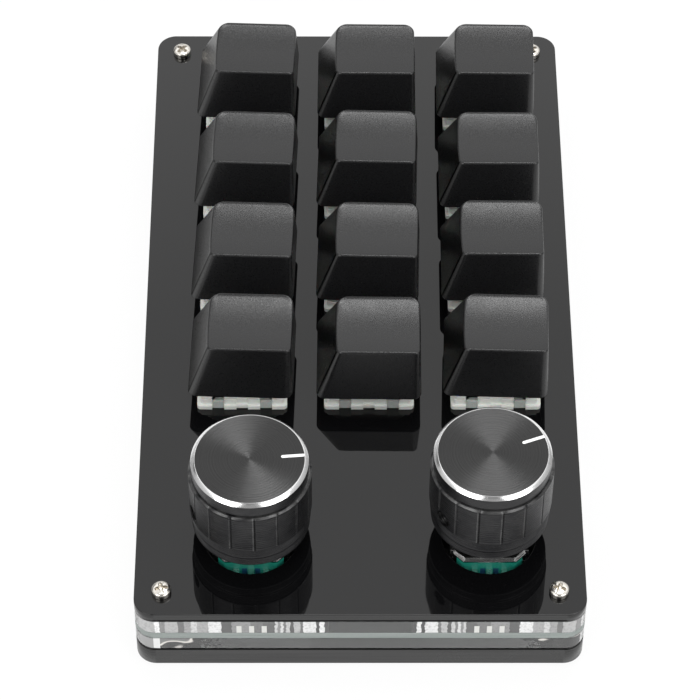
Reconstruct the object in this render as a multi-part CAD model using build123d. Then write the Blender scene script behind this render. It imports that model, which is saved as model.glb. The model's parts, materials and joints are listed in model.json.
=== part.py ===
"""A twelve-key macro keypad with two push-and-turn knobs, in millimetres.

The case is a bolted stack of laser-cut sheets: a black deck, two clear frames with the
circuit board clamped between them, and a black base. Twelve plate-mounted key switches stand
in the deck, and two rotary encoders stand on the board behind the front edge.

Frame: the origin is on the resting plane under the middle of the case, +X is to the right,
+Y points away from the user and +Z is up.
"""
from build123d import *
import os

# Case stack, from the bench up
case_width = 75.4
case_length = 133.8
case_corner_radius = 3.4
foot_height = 1.2
base_thickness = 4.3
lower_frame_thickness = 3.2
board_thickness = 1.6
upper_frame_thickness = 3.2
deck_thickness = 2.0

# Layout of the keys and knobs, whose common centre line stands right of the case's
layout_offset = 1.7
key_columns = 3
key_rows = 4
key_pitch = 22.0
front_row_setback = 51.0
knob_spacing = 40.0
encoder_setback = 16.3
shaft_offset = 1.25

# Case screws
screw_inset = 4.6
screw_diameter = 2.0
screw_hole_diameter = 2.2
screw_head_diameter = 3.3
screw_head_height = 1.35
nut_across_flats = 4.0
nut_thickness = 1.6
nut_pocket_depth = 2.2
nut_clearance = 0.1

# Frames: walls round the key field and round the encoders
frame_rear_wall = 7.3
key_field_margin = 9.5
encoder_bay_half_width = 10.0
frame_front_wall = 6.4

# Feet
foot_diameter = 8.0
foot_inset = 11.0

# Small round parts are drawn with flats: few where they are hidden, more where they show
hidden_round_sides = 6
shown_round_sides = 12

# Switch, measured from the deck's top face
cutout_size = 14.0
housing_body_size = 13.9
housing_flange_size = 15.6
housing_flange_thickness = 1.0
housing_depth = 5.0
housing_wall = 1.1
housing_floor = 1.0
housing_post_diameter = 4.0
housing_post_length = 3.2
post_hole_diameter = 4.4
well_depth = 7.4
well_diameter = 2.5
hood_rim_size = 14.6
hood_rim_height = 1.2
hood_base_size = 13.8
hood_top_size = 10.4
hood_top = 6.6
latch_spacing = 8.5
latch_width = 2.1
latch_depth = 0.5

# Stem
stem_length = 7.2
stem_width = 5.6
stem_clearance = 0.1
stem_bottom = 0.2
stem_top = 6.5
cross_size = 4.0
cross_arm = 1.2
cross_top = 10.1
spindle_diameter = 2.3
spindle_bottom = -3.0
spring_pocket_diameter = 5.0
spring_pocket_top = 5.0

# Return spring, drawn as the sleeve that its coils fill
spring_outer_diameter = 4.6
spring_inner_diameter = 3.6

# Contacts
contact_width = 0.9
contact_thickness = 0.4
contact_length = 3.1
contact_places = ((-3.81, 2.54), (2.54, 5.08))
contact_hole_margin = 0.3

# Keycap, measured from the deck's top face
cap_skirt = 5.35
cap_top = 13.85
cap_base_size = 18.2
cap_top_length = 14.25
cap_top_width = 12.7
cap_top_shift = 1.62
cap_corner_radius = 1.5
cap_dish_radius = 33.0
cap_wall = 1.2
cap_ceiling = 11.8
socket_diameter = 5.5
socket_slack = 0.04

# Encoder, measured from the deck's top face
encoder_width = 12.2
encoder_depth = 11.8
encoder_corner = 1.7
encoder_top = 0.7
can_thickness = 0.5
encoder_cavity_diameter = 8.2
encoder_cavity_floor = -3.3
bushing_diameter = 7.2
bushing_sides = 24
bushing_height = 4.6
shaft_diameter = 6.0
shaft_clearance = 0.05
shaft_flat = 1.5
shaft_top = 16.8
drive_diameter = 4.4
drive_flat_width = 3.2
drive_bottom = -2.7
rotor_diameter = 7.8
rotor_bottom = -3.2
rotor_top = -1.0
encoder_push = 0.5
deck_hole_diameter = 15.9
terminal_pitch = 2.5
terminal_width = 0.9
terminal_thickness = 0.5
terminal_reach = 6.95
terminal_top = -1.4
lid_leg_width = 5.0
lid_leg_shift = -1.5
lid_leg_thickness = 0.4

# Knob, measured from its own bottom face
knob_height = 16.3
knob_bottoms = {"left": 3.35, "right": 5.2}
knob_turns = {"left": 5.0, "right": 21.0}
knob_groove_turns = {"left": 0.0, "right": 11.25}
knob_foot_radius = 9.9
knob_foot_height = 2.1
knob_skirt_radius = 10.05
knob_skirt_height = 4.4
grip_radius = 10.25
grip_height = 8.8
grip_chamfer = 0.3
undercut_radius = 9.4
undercut_height = 0.25
crown_radius = 9.75
rim_width = 0.85
rim_height = 0.6
panel_count = 16
groove_width = 0.55
groove_depth = 0.5
knob_recess_diameter = 9.6
knob_recess_depth = 3.4
knob_bore_depth = 13.8
pointer_length = 3.6
pointer_width = 0.6
pointer_depth = 0.15
set_screw_diameter = 3.0
set_screw_length = 5.0
set_screw_height = 6.2
set_screw_turn = 16.0
set_screw_socket = 1.5

# Connector on the rear edge, under the board
usb_width = 8.94
usb_height = 3.16
usb_depth = 7.3
usb_shell = 0.3
usb_tongue_width = 6.7
usb_tongue_thickness = 0.7
usb_tongue_length = 5.2
usb_notch_clearance = 0.4

# Electronics under the board
chip_size = 7.0
chip_thickness = 1.2
diode_size = (3.6, 1.6, 1.1)
diode_shift = -7.6
chip_shift = (11.0, 11.0)
capacitor_size = (2.0, 1.25, 0.9)

base_bottom = foot_height
lower_frame_bottom = base_bottom + base_thickness
board_bottom = lower_frame_bottom + lower_frame_thickness
upper_frame_bottom = board_bottom + board_thickness
deck_bottom = upper_frame_bottom + upper_frame_thickness
deck_top = deck_bottom + deck_thickness
front_edge = -case_length / 2
rear_edge = case_length / 2
encoder_y = front_edge + encoder_setback
knob_y = encoder_y + shaft_offset

key_places = [
    (layout_offset + (column - (key_columns - 1) / 2) * key_pitch,
     front_edge + front_row_setback + (key_rows - 1 - row) * key_pitch,
     f"r{row + 1}c{column + 1}")
    for row in range(key_rows)
    for column in range(key_columns)
]
knob_places = {
    "left": (layout_offset - knob_spacing / 2, knob_y),
    "right": (layout_offset + knob_spacing / 2, knob_y),
}
encoder_places = [(x, encoder_y) for x, _ in knob_places.values()]
screw_places = [
    (sx * (case_width / 2 - screw_inset), sy * (case_length / 2 - screw_inset))
    for sx in (-1, 1)
    for sy in (-1, 1)
]


def slab(sketch, bottom, height):
    """A flat sketch raised from one level by a height."""
    return extrude(Pos(0, 0, bottom) * sketch, amount=height)


def block(size_x, size_y, bottom, top, x=0.0, y=0.0):
    """An upright box between two levels."""
    return slab(Pos(x, y) * Rectangle(size_x, size_y), bottom, top - bottom)


def rod(diameter, bottom, top, x=0.0, y=0.0):
    """An upright cylinder between two levels."""
    return slab(Pos(x, y) * Circle(diameter / 2), bottom, top - bottom)


def small_round(diameter, sides=hidden_round_sides):
    """The outline of a small round part, with its corners on the diameter."""
    return RegularPolygon(diameter / 2, sides)


def small_hole(diameter, sides=hidden_round_sides):
    """The outline of a small round hole, with its flats on the diameter."""
    return RegularPolygon(diameter / 2, sides, major_radius=False)


def small_rod(diameter, bottom, top, sides=hidden_round_sides):
    return slab(small_round(diameter, sides), bottom, top - bottom)


def frustum(lower_size, upper_size, bottom, top, upper_shift=0.0):
    """A four-sided block with flat slanted walls, whose top may stand off centre in X."""
    def ring(size, shift, level):
        half_x, half_y = size[0] / 2, size[1] / 2
        corners = ((-1, -1), (1, -1), (1, 1), (-1, 1))
        return [Vector(shift + sx * half_x, sy * half_y, level) for sx, sy in corners]

    low, high = ring(lower_size, 0, bottom), ring(upper_size, upper_shift, top)
    walls = [(low[i], low[(i + 1) % 4], high[(i + 1) % 4], high[i]) for i in range(4)]
    outlines = [low, high] + walls
    return Solid(Shell([Face(Wire.make_polygon(list(points))) for points in outlines]))


def case_outline():
    return RectangleRounded(case_width, case_length, case_corner_radius)


def screw_holes():
    hole = small_hole(screw_hole_diameter)
    return Sketch() + [Pos(x, y) * hole for x, y in screw_places]


def make_deck():
    """The black top sheet with its switch cut-outs and the two encoder holes."""
    outline = case_outline() - screw_holes()
    outline -= [Pos(x, y) * Rectangle(cutout_size, cutout_size) for x, y, _ in key_places]
    outline -= [Pos(x, y) * Circle(deck_hole_diameter / 2) for x, y in encoder_places]
    return slab(outline, deck_bottom, deck_thickness)


def frame_opening():
    """One window round the keys and encoders, with a land left between the two encoders."""
    half_width = knob_spacing / 2 + encoder_bay_half_width
    window_front = front_edge + frame_front_wall
    window_rear = rear_edge - frame_rear_wall
    land_rear = front_edge + front_row_setback - key_field_margin
    window = Pos(layout_offset, (window_front + window_rear) / 2) * Rectangle(
        2 * half_width, window_rear - window_front)
    land_width = knob_spacing - 2 * encoder_bay_half_width
    land_length = land_rear - window_front
    window -= Pos(layout_offset, window_front + land_length / 2) * Rectangle(
        land_width, land_length)
    return window


def make_upper_frame():
    outline = case_outline() - frame_opening() - screw_holes()
    return slab(outline, upper_frame_bottom, upper_frame_thickness)


def make_lower_frame():
    """The lower clear frame, cut through at the rear for the connector."""
    notch_width = usb_width + 2 * usb_notch_clearance
    notch = Pos(layout_offset, rear_edge) * Rectangle(notch_width, 2 * (frame_rear_wall + 1))
    outline = case_outline() - frame_opening() - screw_holes() - notch
    return slab(outline, lower_frame_bottom, lower_frame_thickness)


def make_board():
    """The circuit board, whose edge shows as a pale band between the clear frames."""
    outline = case_outline() - screw_holes()
    for x, y, _ in key_places:
        outline -= Pos(x, y) * small_hole(post_hole_diameter)
        hole_x = contact_width + contact_hole_margin
        hole_y = contact_thickness + contact_hole_margin
        outline -= [Pos(x + dx, y + dy) * Rectangle(hole_x, hole_y) for dx, dy in contact_places]
    for x, y in encoder_places:
        for place in terminal_places(x, y):
            hole_x = terminal_width + contact_hole_margin
            hole_y = terminal_thickness + contact_hole_margin
            outline -= Pos(*place) * Rectangle(hole_x, hole_y)
    return slab(outline, board_bottom, board_thickness)


def make_base():
    """The black bottom sheet with a hexagonal pocket under each screw."""
    base = slab(case_outline() - screw_holes(), base_bottom, base_thickness)
    pocket = nut_outline(nut_across_flats + nut_clearance)
    for x, y in screw_places:
        base -= Pos(x, y) * slab(pocket, base_bottom, nut_pocket_depth)
    return base


def nut_outline(across_flats):
    return RegularPolygon(across_flats / 2, 6, major_radius=False)


def make_case_nuts():
    top = base_bottom + nut_pocket_depth
    outline = nut_outline(nut_across_flats) - small_round(screw_diameter)
    nut = slab(outline, top - nut_thickness, nut_thickness)
    return Compound([Pos(x, y) * nut for x, y in screw_places])


def make_case_screws():
    """Pan-head screws: a low head over a plain shank that ends in its nut."""
    screw = small_rod(screw_head_diameter, deck_top, deck_top + screw_head_height,
                      shown_round_sides)
    screw += small_rod(screw_diameter, base_bottom + nut_pocket_depth - nut_thickness, deck_top)
    return Compound([Pos(x, y) * screw for x, y in screw_places])


def make_feet():
    foot_x = case_width / 2 - foot_inset
    foot_y = case_length / 2 - foot_inset
    foot = small_rod(foot_diameter, 0, foot_height, shown_round_sides)
    return Compound([Pos(sx * foot_x, sy * foot_y) * foot for sx in (-1, 1) for sy in (-1, 1)])


def flange_notches(bottom, top, reach):
    """The latch recesses on the front and rear of a square rim."""
    return [block(latch_width, 2 * latch_depth, bottom, top, x, side * reach)
            for side in (-1, 1)
            for x in (-latch_spacing / 2, latch_spacing / 2)]


def lower_housing():
    """Flange, hollow body, and the post that centres the board and guides the spindle."""
    cavity = housing_body_size - 2 * housing_wall
    shell = block(housing_body_size, housing_body_size, -housing_depth, 0)
    shell += block(housing_flange_size, housing_flange_size, 0, housing_flange_thickness)
    shell -= block(cavity, cavity, housing_floor - housing_depth, housing_flange_thickness)
    shell -= flange_notches(0, housing_flange_thickness, housing_flange_size / 2)
    shell += small_rod(housing_post_diameter, -housing_depth - housing_post_length,
                       -housing_depth)
    well = slab(small_hole(well_diameter), -well_depth, well_depth)
    return shell - well


def upper_housing():
    """The tapered hood with the stem's guide down its middle."""
    base = housing_flange_thickness
    rim_top = base + hood_rim_height
    hood = block(hood_rim_size, hood_rim_size, base, rim_top)
    hood += frustum((hood_base_size, hood_base_size), (hood_top_size, hood_top_size),
                    rim_top, hood_top)
    opening_x = stem_length + 2 * stem_clearance
    opening_y = stem_width + 2 * stem_clearance
    return hood - block(opening_x, opening_y, base, hood_top)


def switch_contact():
    """Two blades that leave the housing's floor and pass through the board."""
    top = -housing_depth
    return [block(contact_width, contact_thickness, top - contact_length, top, dx, dy)
            for dx, dy in contact_places]


def key_stem():
    """A slider with the cap's cross above and the spindle inside the spring."""
    stem = block(stem_length, stem_width, stem_bottom, stem_top)
    stem -= slab(small_hole(spring_pocket_diameter), stem_bottom,
                 spring_pocket_top - stem_bottom)
    stem += small_rod(spindle_diameter, spindle_bottom, spring_pocket_top)
    stem += block(cross_size, cross_arm, stem_top, cross_top)
    stem += block(cross_arm, cross_size, stem_top, cross_top)
    return stem


def key_spring():
    outline = small_round(spring_outer_diameter) - small_hole(spring_inner_diameter)
    bottom = housing_floor - housing_depth
    return slab(outline, bottom, spring_pocket_top - bottom)


def keycap():
    """A moulded shell: a long slope on the left, a steep right wall and a dished top.

    The dish is a cylinder that runs from left to right, so the front and rear edges of the
    top are straight and the side edges bow outwards.
    """
    rise = cap_top - cap_skirt
    outside = frustum((cap_base_size, cap_base_size), (cap_top_length, cap_top_width),
                      cap_skirt, cap_top, cap_top_shift)
    corners = outside.edges().filter_by(lambda edge: abs(edge.tangent_at(0).Z) > 0.5)
    outside = fillet(corners, cap_corner_radius)
    sag = cap_dish_radius - (cap_dish_radius ** 2 - (cap_top_width / 2) ** 2) ** 0.5
    dish = Pos(0, 0, cap_top + cap_dish_radius - sag) * Rot(0, 90, 0) * Cylinder(
        cap_dish_radius, 2 * cap_base_size)
    outside -= dish
    share = (cap_ceiling - cap_skirt) / rise
    inner_base = cap_base_size - 2 * cap_wall
    inner_x = inner_base + share * (cap_top_length - cap_base_size)
    inner_y = inner_base + share * (cap_top_width - cap_base_size)
    outside -= frustum((inner_base, inner_base), (inner_x, inner_y),
                       cap_skirt, cap_ceiling, share * cap_top_shift)
    socket = small_rod(socket_diameter, stem_top, cap_ceiling)
    slot = cross_size + 2 * socket_slack
    arm = cross_arm + 2 * socket_slack
    socket -= block(slot, arm, stem_top, cross_top + socket_slack)
    socket -= block(arm, slot, stem_top, cross_top + socket_slack)
    return outside + socket


def chamfered_block(size_x, size_y, corner, bottom, top):
    outline = Rectangle(size_x, size_y)
    return slab(chamfer(outline.vertices(), corner), bottom, top - bottom)


def terminal_places(x, y):
    """The three signal terminals in front of an encoder and the two of its push switch."""
    front = [(x + step * terminal_pitch, y - terminal_reach) for step in (-1, 0, 1)]
    rear = [(x + step * terminal_pitch, y + terminal_reach) for step in (-1, 1)]
    return front + rear


def encoder_base():
    """The moulded base, whose round well for the rotor lies behind its middle."""
    board_level = upper_frame_bottom - deck_top
    base = chamfered_block(encoder_width, encoder_depth, encoder_corner, board_level, encoder_top)
    well = Pos(0, shaft_offset) * small_hole(encoder_cavity_diameter, shown_round_sides)
    return base - slab(well, encoder_cavity_floor, encoder_top - encoder_cavity_floor)


def encoder_can():
    """The pressed lid with its folded side legs and the bushing that carries the shaft."""
    top = encoder_top + can_thickness
    can = chamfered_block(encoder_width - 0.4, encoder_depth - 0.6, encoder_corner,
                          encoder_top, top)
    can += block(encoder_width + 2 * lid_leg_thickness, lid_leg_width, encoder_top, top,
                 0, lid_leg_shift)
    board_level = upper_frame_bottom - deck_top
    leg_x = (encoder_width + lid_leg_thickness) / 2
    for side in (-1, 1):
        can += block(lid_leg_thickness, lid_leg_width, board_level, top,
                     side * leg_x, lid_leg_shift)
    bushing = Pos(0, shaft_offset) * small_round(bushing_diameter, bushing_sides)
    can += slab(bushing, top, bushing_height)
    bore = shaft_diameter + 2 * shaft_clearance
    return can - rod(bore, encoder_top, top + bushing_height, 0, shaft_offset)


def encoder_terminals():
    """Cranked strips that leave the base's side and run down through the board."""
    half_depth = encoder_depth / 2
    tail = board_bottom - deck_top - 1.2
    strips = []
    for x, y in terminal_places(0, 0):
        side = 1 if y > 0 else -1
        leg = block(terminal_width, terminal_thickness, tail, terminal_top, x, y)
        arm_length = abs(y) - half_depth - terminal_thickness / 2
        arm = block(terminal_width, arm_length, terminal_top - terminal_thickness, terminal_top,
                    x, side * (half_depth + arm_length / 2))
        strips.append(leg + arm)
    return strips


def encoder_rotor():
    """The contact disc, with a two-flat hole that the shaft slides through."""
    rotor = small_rod(rotor_diameter, rotor_bottom, rotor_top, shown_round_sides)
    hole = Circle(drive_diameter / 2 + shaft_clearance) & Rectangle(
        drive_diameter + 1, drive_flat_width + 2 * shaft_clearance)
    return rotor - slab(hole, rotor_bottom, rotor_top - rotor_bottom)


def encoder_shaft():
    """A round shaft with a flat for the knob, over a two-flat drive for the rotor."""
    shoulder = rotor_top + encoder_push + 0.1
    drive = Circle(drive_diameter / 2) & Rectangle(drive_diameter + 1, drive_flat_width)
    shaft = slab(drive, drive_bottom, shoulder - drive_bottom)
    shaft += rod(shaft_diameter, shoulder, shaft_top)
    flat_bottom = encoder_top + can_thickness + bushing_height + encoder_push
    flat_x = shaft_flat - shaft_diameter / 2
    return shaft - block(shaft_diameter, shaft_diameter, flat_bottom, shaft_top,
                         flat_x - shaft_diameter / 2)


def knob_profile():
    """Half of the knob's outline: foot, skirt, grip, undercut, crown and bright rim."""
    grip_bottom = knob_skirt_height
    grip_top = grip_bottom + grip_height
    crown_bottom = grip_top + undercut_height
    return Polyline(
        (0, 0),
        (knob_foot_radius, 0),
        (knob_foot_radius, knob_foot_height),
        (knob_skirt_radius, knob_foot_height),
        (knob_skirt_radius, grip_bottom),
        (grip_radius, grip_bottom),
        (grip_radius, grip_top - grip_chamfer),
        (grip_radius - grip_chamfer, grip_top),
        (undercut_radius, grip_top),
        (undercut_radius, crown_bottom),
        (crown_radius, crown_bottom),
        (crown_radius, knob_height - rim_height),
        (crown_radius - rim_width, knob_height),
        (0, knob_height),
        close=True)


def knob(groove_turn):
    """A turned knob with milled grooves between its grip panels and a pointer slot.

    The pointer runs out along +X. The bore's flat and the tapped hole lie nearly opposite.
    """
    body = revolve(Plane.XZ * make_face(knob_profile()))
    groove = Pos(grip_radius, 0, knob_skirt_height) * extrude(
        Polygon((-groove_depth, 0), (0.2, -groove_width / 2), (0.2, groove_width / 2),
                align=None), amount=grip_height)
    body -= [Rot(0, 0, groove_turn + panel * 360 / panel_count) * groove
             for panel in range(panel_count)]
    body -= slab(small_hole(knob_recess_diameter, shown_round_sides), 0, knob_recess_depth)
    bore = Circle(shaft_diameter / 2 + shaft_clearance)
    flat_x = shaft_flat - shaft_diameter / 2 - shaft_clearance
    bore -= Pos(flat_x - shaft_diameter / 2, 0) * Rectangle(shaft_diameter, 2 * shaft_diameter)
    tapped = Pos(0, 0, set_screw_height) * Rot(0, -90, 0) * slab(
        small_hole(set_screw_diameter, shown_round_sides), 0, 1.2 * grip_radius)
    body -= Rot(0, 0, set_screw_turn) * slab(bore, 0, knob_bore_depth)
    body -= Rot(0, 0, set_screw_turn) * tapped
    pointer_x = crown_radius - rim_width / 2 - pointer_length / 2
    return body - block(pointer_length, pointer_width, knob_height - pointer_depth,
                        knob_height + 1, pointer_x)


def knob_set_screw():
    """A grub screw that bears on the shaft's flat, with a hexagonal socket outside."""
    tip = shaft_flat - shaft_diameter / 2
    screw = Rot(0, -90, 0) * small_rod(set_screw_diameter, 0, set_screw_length,
                                       shown_round_sides)
    socket = Rot(0, -90, 0) * slab(nut_outline(set_screw_socket), set_screw_length - 1.5, 2)
    return Pos(tip, 0, set_screw_height) * (screw - socket)


def usb_receptacle():
    """A rounded metal shell, open at the rear, with the contact tongue inside."""
    plane = Plane(origin=(layout_offset, rear_edge, board_bottom - usb_height / 2),
                  x_dir=(1, 0, 0), z_dir=(0, 1, 0))
    outline = RectangleRounded(usb_width, usb_height, usb_height / 2 - 0.3)
    mouth = RectangleRounded(usb_width - 2 * usb_shell, usb_height - 2 * usb_shell,
                             usb_height / 2 - 0.3 - usb_shell)
    shell = extrude(plane * outline, amount=-usb_depth)
    shell -= extrude(plane * mouth, amount=usb_shell - usb_depth)
    tongue_face = plane.offset(-usb_depth + usb_shell) * Rectangle(
        usb_tongue_width, usb_tongue_thickness)
    return shell + extrude(tongue_face, amount=usb_tongue_length)


def make_board_components():
    """Under the board: a microcontroller with four capacitors, and one diode for each key."""
    def chip(size, x, y):
        long_side, short_side, height = size
        return block(long_side, short_side, board_bottom - height, board_bottom, x, y)

    chip_x = layout_offset + chip_shift[0]
    chip_y = front_edge + front_row_setback + chip_shift[1]
    parts = [chip((chip_size, chip_size, chip_thickness), chip_x, chip_y)]
    parts += [chip(capacitor_size, chip_x + sx * (chip_size / 2 + 2.2), chip_y + sy * 2)
              for sx in (-1, 1) for sy in (-1, 1)]
    parts += [chip(diode_size, x, y + diode_shift) for x, y, _ in key_places]
    return Compound(parts)


def on_deck(x, y):
    return Pos(x, y, deck_top)


def save(shape, name):
    export_step(shape, f"parts/{name}.step")


os.makedirs("parts", exist_ok=True)

save(make_deck(), "top_plate")
save(make_upper_frame(), "upper_clear_frame")
save(make_board(), "circuit_board")
save(make_lower_frame(), "lower_clear_frame")
save(make_base(), "bottom_plate")
save(make_case_screws(), "case_screws")
save(make_case_nuts(), "case_nuts")
save(make_feet(), "rubber_feet")
save(make_board_components(), "board_components")
save(usb_receptacle(), "usb_receptacle")

housing, hood, contacts = lower_housing(), upper_housing(), switch_contact()
save(Compound([on_deck(x, y) * housing for x, y, _ in key_places]), "switch_lower_housings")
save(Compound([on_deck(x, y) * hood for x, y, _ in key_places]), "switch_upper_housings")
save(Compound([on_deck(x, y) * blade for x, y, _ in key_places for blade in contacts]),
     "switch_contacts")

cap, stem, spring = keycap(), key_stem(), key_spring()
for x, y, key in key_places:
    save(on_deck(x, y) * cap, f"keycap_{key}")
    save(on_deck(x, y) * stem, f"key_stem_{key}")
    save(on_deck(x, y) * spring, f"key_spring_{key}")

base_part, can_part, terminals = encoder_base(), encoder_can(), encoder_terminals()
save(Compound([on_deck(x, y) * base_part for x, y in encoder_places]), "encoder_bases")
save(Compound([on_deck(x, y) * can_part for x, y in encoder_places]), "encoder_cans")
save(Compound([on_deck(x, y) * strip for x, y in encoder_places for strip in terminals]),
     "encoder_terminals")

rotor, shaft, set_screw = encoder_rotor(), encoder_shaft(), knob_set_screw()
for side, (x, y) in knob_places.items():
    turned = on_deck(x, y) * Rot(0, 0, knob_turns[side])
    fastened = turned * Rot(0, 0, set_screw_turn)
    raised = Pos(0, 0, knob_bottoms[side])
    save(fastened * rotor, f"encoder_rotor_{side}")
    save(fastened * shaft, f"encoder_shaft_{side}")
    save(turned * raised * knob(knob_groove_turns[side]), f"knob_{side}")
    save(fastened * raised * set_screw, f"knob_set_screw_{side}")
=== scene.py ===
"""The looks of a twelve-key macro keypad with two push-and-turn knobs.

The frame holds the keypad at its real size, with +X to the right, +Y away from the user and the
feet at zero height. Places come from the frame's own nodes. Sizes of finishing detail are named
values in millimetres, and a mesh is turned to metres as it is made.
"""
import json

import bpy
import numpy as np
from mathutils import Matrix, Vector


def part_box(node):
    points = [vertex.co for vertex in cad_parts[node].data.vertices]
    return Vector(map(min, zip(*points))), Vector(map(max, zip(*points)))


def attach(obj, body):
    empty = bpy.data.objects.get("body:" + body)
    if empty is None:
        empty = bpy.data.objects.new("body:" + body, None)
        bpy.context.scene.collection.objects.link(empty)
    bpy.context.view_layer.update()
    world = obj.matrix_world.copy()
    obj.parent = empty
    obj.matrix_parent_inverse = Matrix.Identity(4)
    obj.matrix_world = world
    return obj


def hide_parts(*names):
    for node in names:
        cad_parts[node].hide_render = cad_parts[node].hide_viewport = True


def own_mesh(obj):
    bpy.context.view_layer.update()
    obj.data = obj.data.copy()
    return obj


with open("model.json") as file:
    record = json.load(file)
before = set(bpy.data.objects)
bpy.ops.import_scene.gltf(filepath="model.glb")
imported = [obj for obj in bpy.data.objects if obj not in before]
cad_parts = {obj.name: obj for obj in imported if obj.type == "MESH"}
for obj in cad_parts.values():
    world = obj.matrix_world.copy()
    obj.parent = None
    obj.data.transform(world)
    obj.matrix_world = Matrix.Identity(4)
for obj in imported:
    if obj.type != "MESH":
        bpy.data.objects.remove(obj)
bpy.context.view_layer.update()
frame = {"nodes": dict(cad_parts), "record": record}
nodes = frame["nodes"]
mm = 0.001


def node_box(node):
    """Lowest and highest corner of a node, in millimetres."""
    low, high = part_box(node)
    return np.array(low) / mm, np.array(high) / mm


def node_centre(node):
    """The middle of a node's box, in millimetres."""
    low, high = node_box(node)
    return (low + high) / 2


# Levels and places read from the frame
knob_sides = ("left", "right")
key_names = [name[len("keycap_"):] for name in sorted(nodes) if name.startswith("keycap_")]
deck_bottom, deck_top = (corner[2] for corner in node_box("top_plate"))
board_top = node_box("circuit_board")[1][2]
base_top = node_box("bottom_plate")[1][2]
encoder_low, encoder_high = node_box("encoder_bases")
left_knob_x, right_knob_x = (node_centre(f"knob_{side}")[0] for side in knob_sides)
knobs_middle = (left_knob_x + right_knob_x) / 2
knobs_reach = (right_knob_x - left_knob_x) / 2

# Camera, fitted to the photograph: it aims at a point of the deck's top face
camera_aim = (-1.54, -10.31)
camera_distance = 592.2
camera_elevation = 50.82
camera_yaw = 0.56
camera_roll = 0.46
camera_lens = 172.86
camera_sensor = 36.0

# Studio, in metres: half the table's width, then each lamp's name, place, size and radiance
table_half = 4.0
nearest_seen = 0.01
lamp_target = (0.0, 0.0, 0.02)
lamps = (("overhead", (0.075, 0.24, 0.87), (0.29, 0.27), 8.4),
         ("front_left", (-0.5, -0.55, 0.72), (0.5, 0.5), 3.2),
         ("front_right", (0.58, -0.55, 0.72), (0.6, 0.5), 3.2))

# Keycap: levels from the deck's top face, and sizes of its outline there
cap_skirt = 5.35
cap_top = 13.85
cap_base_half = 9.1
cap_top_half = (7.125, 6.35)
cap_top_shift = 1.62
cap_corner_radius = 1.5
cap_top_corner_radii = (0.9, 1.9)
cap_edge_radius = 0.28
cap_edge_ease = 0.9
cap_edge_lead = 0.12
cap_dish_radius = 33.0
cap_wall = 0.88
cap_ceiling = 11.8
cap_lip = 0.15
cap_lip_break = 0.06
cap_mouth = 0.6
cap_least_radius = 0.3
cap_side_points = (0.03, 0.14, 0.28, 0.42, 0.58, 0.72, 0.86, 0.97)
cap_top_rings = (0.985, 0.9, 0.78, 0.64, 0.5, 0.36, 0.22, 0.08)
# How far each cap's top stands above its usual level, its skirt below, and its turn in degrees
cap_lifts = dict(zip(key_names, (0.28, 0.05, 0.07, -0.16, 0.22, -0.26,
                                 -0.1, -0.18, 0.37, 0.79, 0.0, 0.67)))
cap_drops = dict(zip(key_names, (0.7,) * 9 + (0.4, 0.9, 0.3)))
cap_turns = dict(zip(key_names, (-2.2, -0.6, -1.0, -2.2, -1.7, -0.25,
                                 -2.1, -1.6, -0.4, -1.8, -0.6, -1.9)))
socket_radius = 2.75
socket_bottom = 6.5
socket_slot_half_length = 2.04
socket_slot_half_width = 0.64
socket_slot_top = 10.14
socket_break = 0.1
edge_hold = 0.05

# Switch housings: levels from the deck's top face, and sizes of their outlines there
flange_half = 7.8
flange_corner = 0.6
flange_top = 1.0
body_half = 6.95
body_bottom = -5.0
body_corner = 0.4
body_break = 0.3
cavity_half = 5.85
cavity_corner = 0.3
cavity_floor = -4.0
post_radius = 2.0
post_break = 0.4
post_taper = 0.6
post_roundness = 0.98
post_bottom = -8.2
stem_bore_radius = 1.25
stem_bore_bottom = -7.4
hood_rim_half = 7.3
hood_rim_top = 2.2
hood_rim_corner = 0.5
hood_base_half = 6.9
hood_slope = 0.1
hood_top_half = 5.2
hood_shoulder = 0.15
hood_top_corner = 0.7
hood_top_break = 0.3
hood_top = 6.6
hood_opening_half = (3.7, 2.9)
hood_opening_corner = 0.2
leg_edges = (3.1, 5.2)
leg_front = 7.5
leg_rear = 7.12
leg_setback = 0.35
leg_clearance = 0.06
leg_bottom = 0.08
leg_headroom = 0.12
leg_bevel = 0.05
leg_corner = leg_bevel * 1.2
window_depth = 2.0
window_top = 2.65
notch_half_width = 1.0
notch_setback = 0.25
notch_slot_depth = 0.34
notch_slot_top = 0.4
edge_bevel = 0.08

# Return spring
spring_radius = 2.05
spring_wire_radius = 0.17
spring_turns = 12
spring_dead_turns = 1.5
spring_bottom = cavity_floor
spring_top = 5.0
spring_crease = 60.0

# Knob, measured from its own bottom face
panel_count = 16
panel_step = 2 * np.pi / panel_count
knob_foot_radius = 9.9
knob_foot_height = 2.1
knob_skirt_radius = 10.05
knob_skirt_height = 4.4
grip_radius = 10.25
grip_top = 13.2
grip_chamfer = 0.3
undercut_radius = 9.4
undercut_top = 13.45
crown_radius = 9.75
rim_bottom = 15.7
rim_inner_radius = 9.12
rim_lap = 0.5
rim_joint_inset = 0.03
rim_joint_half = 0.02
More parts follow.
